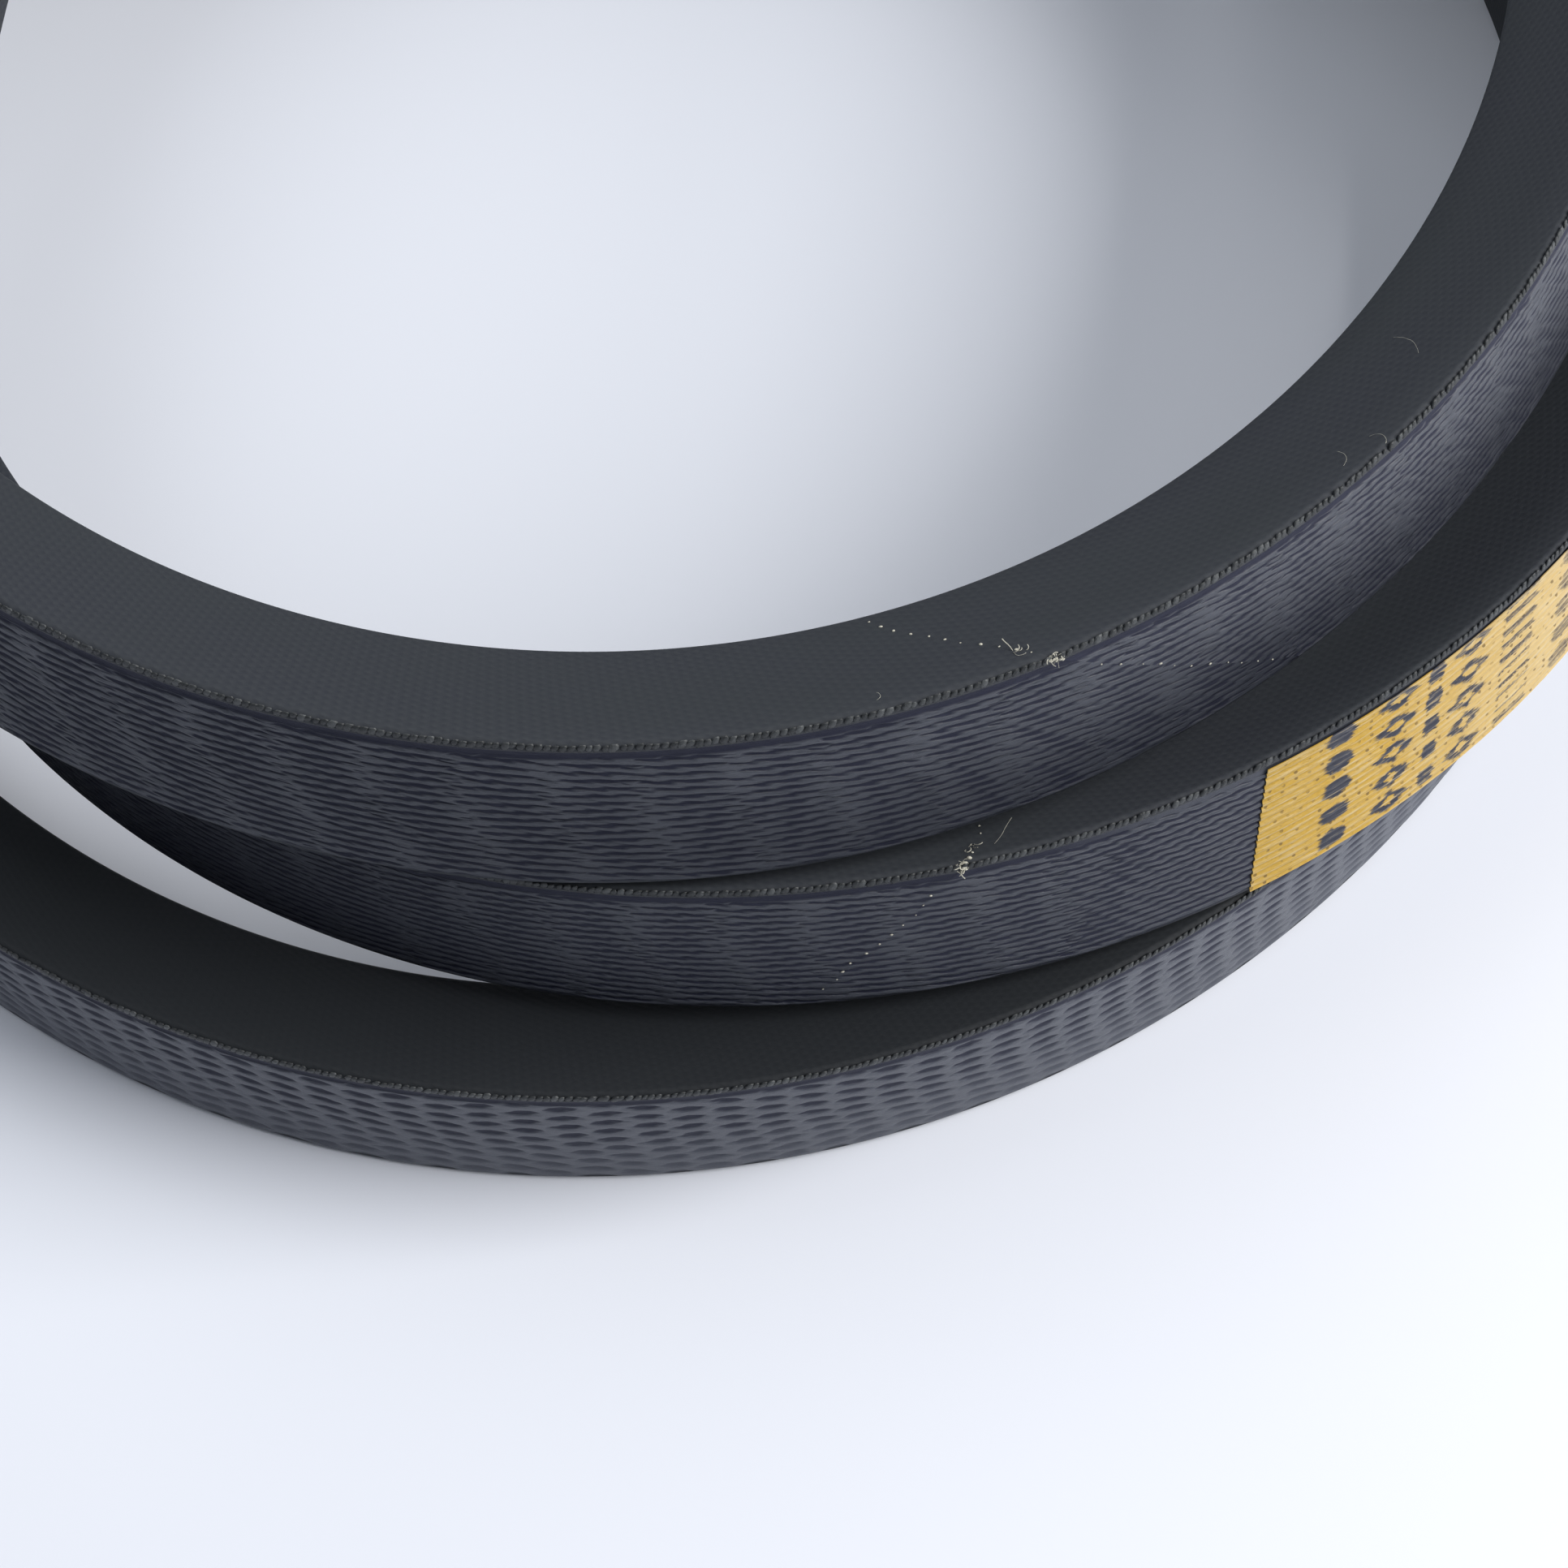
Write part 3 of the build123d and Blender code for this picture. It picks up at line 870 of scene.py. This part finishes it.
def yarn_material():
    """Cream polyester-cotton yarn, as the cut ends and lint show it."""
    material, tree, shader = new_material("cream_yarn")
    fuzz = noise(tree, scale=4000.0)
    base = colour_mix(tree, unit_clip(fuzz + 0.5), *CREAM)
    tree.links.new(base, shader.inputs["Base Color"])
    shader.inputs["Roughness"].default_value = 0.7
    add_bump(tree, shader, fuzz * 0.5 + 0.5, 0.00005)
    return material


def layer_material(name, dark, light, grain, rough):
    """A rubber or fabric layer inside the belt: two tones of grain with fine relief."""
    material, tree, shader = new_material(name)
    speckle = noise(tree, scale=grain, detail=4.0)
    base = colour_mix(tree, unit_clip(speckle + 0.5), dark, light)
    tree.links.new(base, shader.inputs["Base Color"])
    shader.inputs["Roughness"].default_value = rough
    add_bump(tree, shader, speckle * 0.5 + 0.5, 0.0001)
    return material


def cord_material():
    """Twisted polyester cord: slanting strands with a resin dip."""
    material, tree, shader = new_material("tensile_cord")
    wave = tree.nodes.new("ShaderNodeTexWave")
    wave.bands_direction = "DIAGONAL"
    wave.inputs["Scale"].default_value = 900.0
    wave.inputs["Distortion"].default_value = 2.0
    place_node = tree.nodes.new("ShaderNodeTexCoord")
    tree.links.new(place_node.outputs["Object"], wave.inputs["Vector"])
    strands = Field(tree, wave.outputs["Fac"])
    base = colour_mix(tree, strands, *CORD)
    tree.links.new(base, shader.inputs["Base Color"])
    shader.inputs["Roughness"].default_value = 0.55
    add_bump(tree, shader, strands, 0.00012)
    return material


def floor_material():
    material, tree, shader = new_material("table_top")
    mottle = noise(tree, scale=9.0)
    base = colour_mix(tree, unit_clip(mottle * 0.5 + 0.5), *TABLE)
    tree.links.new(base, shader.inputs["Base Color"])
    shader.inputs["Roughness"].default_value = 0.55
    return material


def make_floor():
    signs = np.array([(-1, -1, 0), (1, -1, 0), (1, 1, 0), (-1, 1, 0)])
    floor = mesh_object("floor", signs * FLOOR_REACH, np.array([(0, 1, 2, 3)]))
    floor.data.materials.append(floor_material())


# ================================ pieces ======================================================

def belongs(piece, material, slot, *nodes):
    """Gives a piece its material, fixes it to the belt and hides what it stands for."""
    piece.data.materials.append(material)
    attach(piece, "root")
    if nodes:
        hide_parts(*nodes)


def make_cover():
    fabric = cover_material()
    ends = list(OUTER_JOINTS[1:]) + [OUTER_JOINTS[0] + TOTAL]
    for number, (first, last) in enumerate(zip(OUTER_JOINTS, ends), 1):
        piece = cover_length(f"cover_fabric_{number}", first, last)
        belongs(piece, fabric, "outer_cover", f"outer_cover_length_{number}")


def make_edge_loops():
    belongs(edge_loops(), loop_material(), "outer_cover")


def make_label():
    """The printed film, closed, with the straight ribs of the cover showing through it."""
    start, end = length_at(LABEL_ENDS[0]), length_at(LABEL_ENDS[1])
    width = LABEL_ACROSS[1] - LABEL_ACROSS[0]
    across = np.linspace(*LABEL_ACROSS, round(width / RIB_PITCH * LABEL_COLUMNS_PER_RIB))
    lengths = np.linspace(start, end, round((end - start) / LABEL_RING_STEP))[:, None]
    slant = LABEL_SLANT * (0.5 - across / BACK_WIDTH)
    lengths = lengths - slant * np.clip(1 - (lengths - start) / LABEL_SKEWED, 0, 1)
    rows, columns = lengths.shape
    frames = [part.reshape(rows, columns, 3) for part in
              section_frames(station_at(lengths.ravel()))[:3]]
    pressed = groove(lengths, across[None], np.zeros(1), np.ones(1))
    face = -LABEL_LIFT + GROOVE_DEPTH * LABEL_FOLLOWS * pressed
    over = place(frames, face, across[None] + 0 * lengths)
    under = place(frames, face + LABEL_FILM, across[None] + 0 * lengths)
    count = rows * columns
    rim = np.concatenate([np.arange(columns), np.arange(2, rows + 1)[:-1] * columns - 1,
                          np.arange(count - 1, count - 1 - columns, -1),
                          np.arange(rows - 2, 0, -1) * columns])
    ahead = np.roll(rim, -1)
    wall = np.stack([rim, ahead, ahead + count, rim + count], -1)
    faces = np.concatenate([quads(rows, columns, False)[:, ::-1],
                            quads(rows, columns, False) + count, wall])
    values = {"along": lengths, "across": across[None] + 0 * lengths, "pressed": pressed}
    values = {key: np.tile(value.ravel(), 2) for key, value in values.items()}
    points = np.concatenate([over.reshape(-1, 3), under.reshape(-1, 3)])
    piece = mesh_object("label_film", points, faces, values)
    on_rim = np.isin(np.arange(len(points)), np.concatenate([rim, rim + count]))
    mark_sharp(piece.data, on_rim)
    belongs(piece, label_material(), "label", "printed_label")


def section_place(station, around):
    """World point (mm), outward normal and forward direction at a length round the section,
    measured from the lower edge of the back."""
    points, normals, lengths = rounded_outline(PROBE_COLUMNS, PROBE_STEP)
    depth, across = (np.interp(around, lengths, points[:, axis]) for axis in (0, 1))
    inward, sideways = (np.interp(around, lengths, normals[:, axis]) for axis in (0, 1))
    middle, outward, edgewise, along = (part[0] for part in section_frames([station]))
    place_mm = middle - outward * depth + edgewise * across
    normal = unit(-outward * inward + edgewise * sideways)
    return place_mm, normal, along


def joint_place(joint, around):
    """A point of a slanting joint of the cover."""
    station = float(station_at(length_at(joint) + joint_shift(joint, around)))
    return section_place(station, around)


def yarn_ends(random, joint, arounds, size):
    """Cut yarn ends along a joint, as small balls: centres and half-axes."""
    centres, axes = [], []
    for around in arounds:
        point, normal, along = joint_place(joint, around + random.normal(0, 0.05))
        side = np.cross(normal, along)
        long_way = along * random.uniform(0.8, 1.5) + side * random.uniform(-0.5, 0.5)
        short_way = np.cross(normal, unit(long_way))
        reach = size * random.uniform(0.4, 1.0)
        centres.append(point + along * random.normal(0, 0.18) + normal * 0.02)
        axes.append([long_way * reach, short_way * reach * 0.8, normal * reach * 0.6])
    return centres, axes


def curl(random, start, heading, normal, length, bend):
    """Points of a loose fibre that wanders over the surface and lifts off it a little."""
    points = [start]
    heading = unit(heading)
    for _ in range(CURL_STEPS):
        side = np.cross(normal, heading)
        turn, lift = bend + random.normal(0, 0.10), random.normal(0, 0.05)
        heading = unit(heading + side * turn + normal * lift)
        points.append(points[-1] + heading * length / CURL_STEPS)
    return points


def tuft(random, joint, around, count, reach):
    """A tangle of short fibres standing from a joint."""
    fibres = []
    for _ in range(count):
        point, normal, along = joint_place(joint, around + random.normal(0, reach * 0.25))
        side = np.cross(normal, along)
        turn = random.uniform(0, 2 * math.pi)
        heading = along * math.cos(turn) + side * math.sin(turn)
        heading = heading + normal * random.uniform(0.1, 0.8)
        start = point + along * random.normal(0, reach * 0.3)
        line = curl(random, start, heading, normal, reach * random.uniform(0.6, 1.5),
                    random.uniform(-0.35, 0.35))
        fibres.append(tube(np.array(line) * MM, random.uniform(0.015, 0.045) * MM))
    return fibres


def make_yarn_ends(random, joint, yarn):
    """The rows of cut yarn ends down the upper flank and across the back, and the thicker ends
    on the upper edge."""
    on_flank = BACK_WIDTH + np.arange(*YARN_ENDS_ON_FLANK)
    centres, axes = yarn_ends(random, joint, on_flank, YARN_END_SIZES["flank"])
    at_edge = BACK_WIDTH + random.normal(-0.1, 0.3, 9)
    for arounds, place_name in ((np.arange(*YARN_ENDS_ON_BACK), "back"), (at_edge, "edge")):
        more = yarn_ends(random, joint, arounds, YARN_END_SIZES[place_name])
        centres, axes = centres + more[0], axes + more[1]
    points, fours, threes, _ = scattered_balls(np.array(centres) * MM, np.array(axes) * MM)
    piece = mesh_object(f"joint_yarn_ends_{joint}", points, [fours, threes])
    belongs(piece, yarn, "outer_cover")


def make_joint_yarns():
    """Cream yarn ends and tufts that show where two lengths of cover fabric meet."""
    yarn = yarn_material()
    for joint, seed in zip(OUTER_JOINTS, JOINT_SEEDS):
        random = np.random.default_rng(seed)
        make_yarn_ends(random, joint, yarn)
        fibres = []
        for past, count, reach in TUFTS:
            fibres += tuft(random, joint, BACK_WIDTH + past, count, reach)
        points, faces = joined(fibres)
        belongs(mesh_object(f"joint_tuft_{joint}", points, faces), yarn, "outer_cover")


def make_threads():
    """The thread that stands off the middle loop, and fine hairs and lint on the top loop."""
    yarn = yarn_material()
    random = np.random.default_rng(FIBRE_SEED)
    fibres = []
    for station, around, length, bend in LOOSE_FIBRES:
        point, normal, along = section_place(station, around)
        heading = along + np.cross(normal, along) * random.uniform(-0.8, 0.8) + normal * 0.25
        line = curl(random, point + normal * 0.05, heading, normal, length, bend)
        fibres.append(tube(np.array(line) * MM, LOOSE_FIBRE_RADIUS * MM))
    points, faces = joined(fibres)
    belongs(mesh_object("loose_fibres", points, faces), yarn, "outer_cover")


def finish_inner_layers():
    """Materials for the layers inside the belt, which keep their CAD meshes."""
    slots = {slot: layer_material(*look) for slot, *look in INNER_LAYERS}
    slots["tensile_cord"] = cord_material()
    for part in frame["record"]["subparts"]:
        if part["material_slot"] in slots:
            node = frame["nodes"][part["node"]]
            for slot in node.material_slots:
                slot.material = slots[part["material_slot"]]


make_camera()
make_light()
make_floor()
make_cover()
make_edge_loops()
make_label()
make_joint_yarns()
make_threads()
finish_inner_layers()
